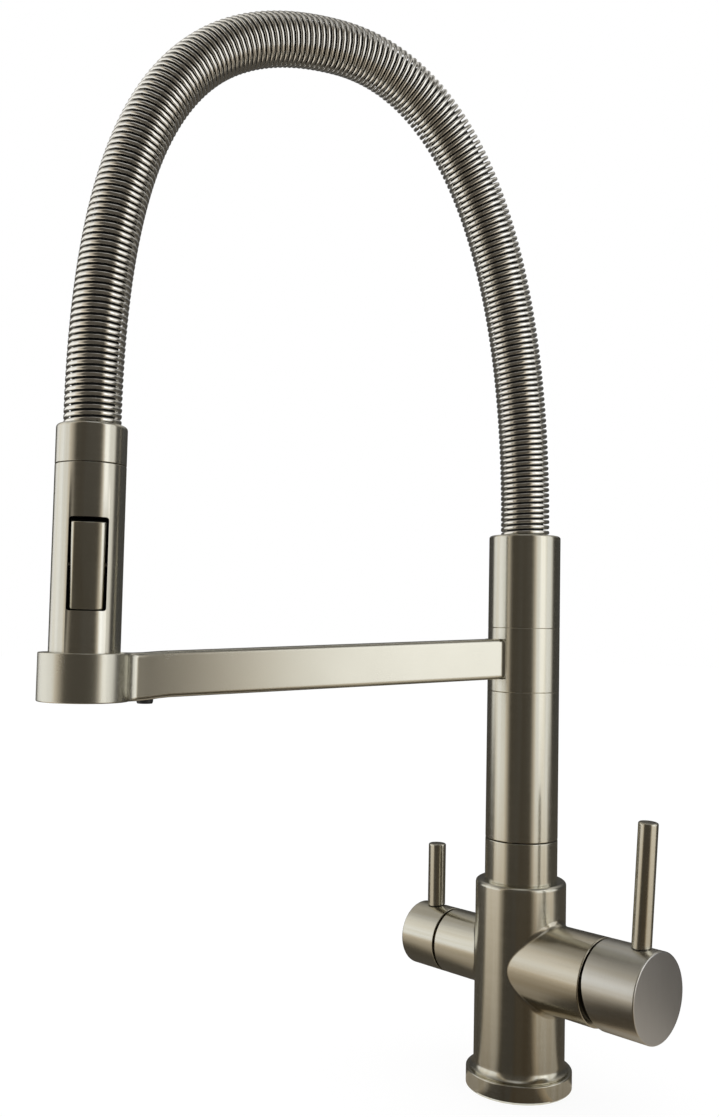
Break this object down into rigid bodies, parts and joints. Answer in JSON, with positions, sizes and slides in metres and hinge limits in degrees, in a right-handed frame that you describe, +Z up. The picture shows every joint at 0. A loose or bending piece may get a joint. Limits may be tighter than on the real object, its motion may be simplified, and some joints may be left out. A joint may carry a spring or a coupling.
{
  "type": "drinking water filter tap",
  "caption": "Deck-mounted kitchen tap with a mixer lever, a filter lever, a swivelling riser, a spring-guarded hose arch and a pull-down spray head held in a dock.",
  "frame": {"origin": "centre of the base's underside, on the deck, at the mouth of the fixing stud's hole", "axes": "+Z up along the riser, +X along the mixer handle's axis, -Y towards the user"},
  "size_m": [0.1613, 0.2494, 0.5007],
  "materials": {
    "brushed_nickel": "satin brushed nickel, warm grey",
    "spring_steel": "satin drawn wire",
    "pin_steel": "ground steel",
    "brass": "machined brass",
    "black_rubber": "matt rubber",
    "black_plastic": "fine moulded plastic",
    "white_plastic": "moulded acetal",
    "grey_silicone": "soft silicone",
    "black_steel": "blackened steel"
  },
  "bodies": {
    "base": {"base_flange": "brushed_nickel", "base_seal": "black_rubber", "inlet_manifold": "brass", "valve_body": "brushed_nickel", "neck_collar": "brushed_nickel", "swivel_spigot": "brass", "swivel_seals": "black_rubber", "mixer_cartridge": "white_plastic", "cartridge_nut": "brass", "cartridge_dome": "brushed_nickel", "filter_valve": "white_plastic", "filter_valve_nut": "brass"},
    "spout": {"riser_tube": "brushed_nickel", "swivel_bush": "white_plastic", "joining_sleeve": "brass", "support_arm": "brushed_nickel", "filter_tube": "white_plastic", "filter_outlet": "black_plastic", "dock_liner": "black_plastic", "upper_tube": "brushed_nickel", "hose_nipple": "brass", "spray_hose": "black_rubber", "hose_spring": "spring_steel"},
    "hose_end": {"head_collar": "brushed_nickel", "hose_connector": "brass"},
    "spray_head": {"head_shell": "brushed_nickel", "diverter_core": "black_plastic", "spray_face": "black_plastic", "spray_nozzles": "grey_silicone", "aerator": "black_plastic", "button_pin": "pin_steel"},
    "mode_button": {"mode_button": "brushed_nickel"},
    "mixer_carrier": {"cartridge_carrier": "white_plastic", "pivot_pin": "pin_steel"},
    "mixer_handle": {"mixer_stem": "brass", "mixer_cap": "brushed_nickel", "mixer_lever": "brushed_nickel", "mixer_grub_screw": "black_steel"},
    "filter_handle": {"filter_spindle": "brass", "filter_cap": "brushed_nickel", "filter_lever": "brushed_nickel", "filter_grub_screw": "black_steel"}
  },
  "joints": [
    {"name": "spout_swivel", "type": "hinge", "parent": "base", "child": "spout", "pos_m": [0, 0, 0.15], "axis": [0, 0, 1], "continuous": true},
    {"name": "head_lift", "type": "slide", "parent": "spout", "child": "hose_end", "axis": [0, 0, 1], "range_m": [0, 0.04], "deforming": ["hose_spring", "spray_hose"]},
    {"name": "head_turn", "type": "hinge", "parent": "hose_end", "child": "spray_head", "pos_m": [-0.06591, -0.20528, 0.28], "axis": [0, 0, 1], "continuous": true},
    {"name": "button_rock", "type": "hinge", "parent": "spray_head", "child": "mode_button", "pos_m": [-0.06278, -0.20707, 0.2419], "axis": [-0.497, -0.8678, 0], "range_deg": [0, 10]},
    {"name": "mixer_temperature", "type": "hinge", "parent": "base", "child": "mixer_carrier", "pos_m": [0.048, 0, 0.0592], "axis": [1, 0, 0], "range_deg": [-45, 45]},
    {"name": "mixer_flow", "type": "hinge", "parent": "mixer_carrier", "child": "mixer_handle", "pos_m": [0.048, 0, 0.0592], "axis": [0, 1, 0], "range_deg": [0, 14]},
    {"name": "filter_turn", "type": "hinge", "parent": "base", "child": "filter_handle", "pos_m": [-0.05, 0, 0.0592], "axis": [1, 0, 0], "range_deg": [0, 90]}
  ]
}
